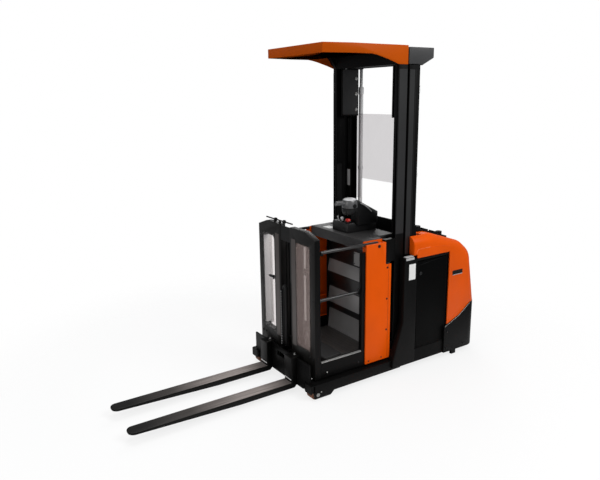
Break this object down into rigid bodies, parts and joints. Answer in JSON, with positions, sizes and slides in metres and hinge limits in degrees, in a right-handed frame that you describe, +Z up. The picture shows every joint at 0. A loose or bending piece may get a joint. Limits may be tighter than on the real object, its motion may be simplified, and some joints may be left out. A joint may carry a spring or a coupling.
{
  "type": "high level order picking truck",
  "caption": "Electric truck for very narrow aisles whose standing cab, with roof guard, desk, side gates and forks, climbs a two stage mast over a steered drive unit.",
  "frame": {"origin": "on the floor, on the centre line, below the middle of the truck's length", "axes": "+X from the fork tips towards the drive unit, +Y to the far side, +Z up"},
  "size_m": [2.8, 0.864, 2.35],
  "materials": {
    "frame_black": "satin black powder coat on the chassis, legs and shoulders",
    "hatch_black": "black painted sheet of the side hatches",
    "mast_black": "black painted mast rails, lightly oiled at the runs",
    "rod_chrome": "hard chromed lift rods",
    "bumper_black": "grained black moulding of the rear bumper",
    "hood_orange": "glossy orange moulded hood",
    "panel_orange": "orange powder coated sheet of the cab panels",
    "guard_orange": "orange painted sheet rim of the overhead guard",
    "tray_black": "black rubbery tray on the hood",
    "battery_grey": "grey battery case",
    "drive_iron": "painted castings of the drive unit",
    "load_tread": "orange brown polyurethane tread on a steel hub",
    "drive_tread": "dark polyurethane tread on a cast hub",
    "castor_tread": "dark polyurethane castor roller",
    "zinc_steel": "zinc plated castor forks",
    "fork_steel": "black painted forged forks, worn bright along the heels",
    "carriage_black": "black painted carriage plate",
    "frame_grey": "black grey powder coated front frames",
    "pane_clear": "clear polycarbonate window panes",
    "screen_clear": "grey tinted clear back screen",
    "mat_grey": "grey ribbed rubber floor mat",
    "floor_black": "black painted cab floor with a bare steel sill edge",
    "desk_grey": "dark grey grained desk moulding",
    "knee_grey": "mid grey moulded knee panels",
    "control_black": "black control box moulding",
    "steer_grey": "grey and black steering unit mouldings",
    "head_grey": "dark grey painted mast head cover",
    "hose_black": "corrugated black hose",
    "lamp_white": "white lamp lens under the roof",
    "bar_black": "black powder coated gate bars"
  },
  "bodies": {
    "chassis": {"chassis_frame": "frame_black", "support_legs": "frame_black", "mast_shrouds": "frame_black", "battery": "battery_grey", "battery_rests": "battery_grey", "rear_bumper": "bumper_black", "mast_outer": "mast_black", "lift_cylinders": "mast_black", "back_screen": "screen_clear"},
    "load_roller_near": {"load_wheel_near": "load_tread"},
    "load_roller_far": {"load_wheel_far": "load_tread"},
    "drive_steer": {"drive_unit": "drive_iron"},
    "drive_roll": {"drive_wheel": "drive_tread"},
    "castor_near": {"castor_fork_near": "zinc_steel"},
    "castor_near_roll": {"castor_wheel_near": "castor_tread"},
    "castor_far": {"castor_fork_far": "zinc_steel"},
    "castor_far_roll": {"castor_wheel_far": "castor_tread"},
    "hatch_near": {"battery_hatch_near": "hatch_black"},
    "hatch_far": {"battery_hatch_far": "hatch_black"},
    "hood_lid": {"hood": "hood_orange", "hood_tray": "tray_black"},
    "mast_stage": {"mast_inner": "mast_black", "mast_head": "head_grey", "lift_rods": "rod_chrome"},
    "cab": {"cab_floor": "floor_black", "floor_mat": "mat_grey", "cab_posts": "mast_black", "roller_brackets": "mast_black", "side_panel_near": "panel_orange", "side_panel_far": "panel_orange", "side_pillars": "frame_grey", "front_frame_near": "frame_grey", "front_frame_far": "frame_grey", "windows": "pane_clear", "fork_mast": "mast_black", "hose_loop": "hose_black", "desk": "desk_grey", "knee_panel": "knee_grey", "control_box": "control_black", "steering_unit": "steer_grey", "overhead_guard": "guard_orange", "guard_struts": "mast_black", "guard_lamp": "lamp_white"},
    "carriage": {"fork_carriage": "carriage_black", "fork_near": "fork_steel", "fork_far": "fork_steel"},
    "gate_upper_near": {"gate_bar_upper_near": "bar_black"},
    "gate_upper_far": {"gate_bar_upper_far": "bar_black"},
    "gate_lower_near": {"gate_bar_lower_near": "bar_black"},
    "gate_lower_far": {"gate_bar_lower_far": "bar_black"}
  },
  "joints": [
    {"name": "load_spin_near", "type": "hinge", "parent": "chassis", "child": "load_roller_near", "pos_m": [-0.162, -0.362, 0.042], "axis": [0, 1, 0], "continuous": true},
    {"name": "load_spin_far", "type": "hinge", "parent": "chassis", "child": "load_roller_far", "pos_m": [-0.162, 0.362, 0.042], "axis": [0, 1, 0], "continuous": true},
    {"name": "drive_turn", "type": "hinge", "parent": "chassis", "child": "drive_steer", "pos_m": [1.2, 0, 0.29], "axis": [0, 0, 1], "range_deg": [-90, 90]},
    {"name": "drive_spin", "type": "hinge", "parent": "drive_steer", "child": "drive_roll", "pos_m": [1.2, 0, 0.125], "axis": [0, 1, 0], "continuous": true},
    {"name": "castor_turn_near", "type": "hinge", "parent": "chassis", "child": "castor_near", "pos_m": [1.158, -0.33, 0.1], "axis": [0, 0, 1], "continuous": true},
    {"name": "castor_spin_near", "type": "hinge", "parent": "castor_near", "child": "castor_near_roll", "pos_m": [1.14, -0.33, 0.04], "axis": [0, 1, 0], "continuous": true},
    {"name": "castor_turn_far", "type": "hinge", "parent": "chassis", "child": "castor_far", "pos_m": [1.158, 0.33, 0.1], "axis": [0, 0, 1], "continuous": true},
    {"name": "castor_spin_far", "type": "hinge", "parent": "castor_far", "child": "castor_far_roll", "pos_m": [1.14, 0.33, 0.04], "axis": [0, 1, 0], "continuous": true},
    {"name": "hatch_hinge_near", "type": "hinge", "parent": "chassis", "child": "hatch_near", "pos_m": [0.728, -0.408, 0.5], "axis": [0, 0, -1], "range_deg": [0, 100]},
    {"name": "hatch_hinge_far", "type": "hinge", "parent": "chassis", "child": "hatch_far", "pos_m": [0.728, 0.408, 0.5], "axis": [0, 0, 1], "range_deg": [0, 100]},
    {"name": "hood_tilt", "type": "hinge", "parent": "chassis", "child": "hood_lid", "pos_m": [1.393, 0, 0.434], "axis": [0, 1, 0], "range_deg": [0, 70]},
    {"name": "stage_lift", "type": "slide", "parent": "chassis", "child": "mast_stage", "axis": [0, 0, 1], "range_m": [0, 1.25]},
    {"name": "cab_lift", "type": "slide", "parent": "mast_stage", "child": "cab", "axis": [0, 0, 1], "range_m": [0, 1.25]},
    {"name": "carriage_lift", "type": "slide", "parent": "cab", "child": "carriage", "axis": [0, 0, 1], "range_m": [0, 0.75]},
    {"name": "gate_turn_upper_near", "type": "hinge", "parent": "cab", "child": "gate_upper_near", "pos_m": [0.395, -0.336, 0.998], "axis": [0, 1, 0], "range_deg": [0, 90]},
    {"name": "gate_turn_lower_near", "type": "hinge", "parent": "cab", "child": "gate_lower_near", "pos_m": [0.265, -0.336, 0.676], "axis": [0, 1, 0], "range_deg": [0, 90]},
    {"name": "gate_turn_upper_far", "type": "hinge", "parent": "cab", "child": "gate_upper_far", "pos_m": [0.395, 0.336, 0.998], "axis": [0, 1, 0], "range_deg": [0, 90]},
    {"name": "gate_turn_lower_far", "type": "hinge", "parent": "cab", "child": "gate_lower_far", "pos_m": [0.265, 0.336, 0.676], "axis": [0, 1, 0], "range_deg": [0, 90]}
  ],
  "couplings": [
    {"joint": "cab_lift", "follows": "stage_lift", "ratio": 1},
    {"joint": "gate_turn_lower_near", "follows": "gate_turn_upper_near", "ratio": 1},
    {"joint": "gate_turn_lower_far", "follows": "gate_turn_upper_far", "ratio": 1}
  ]
}
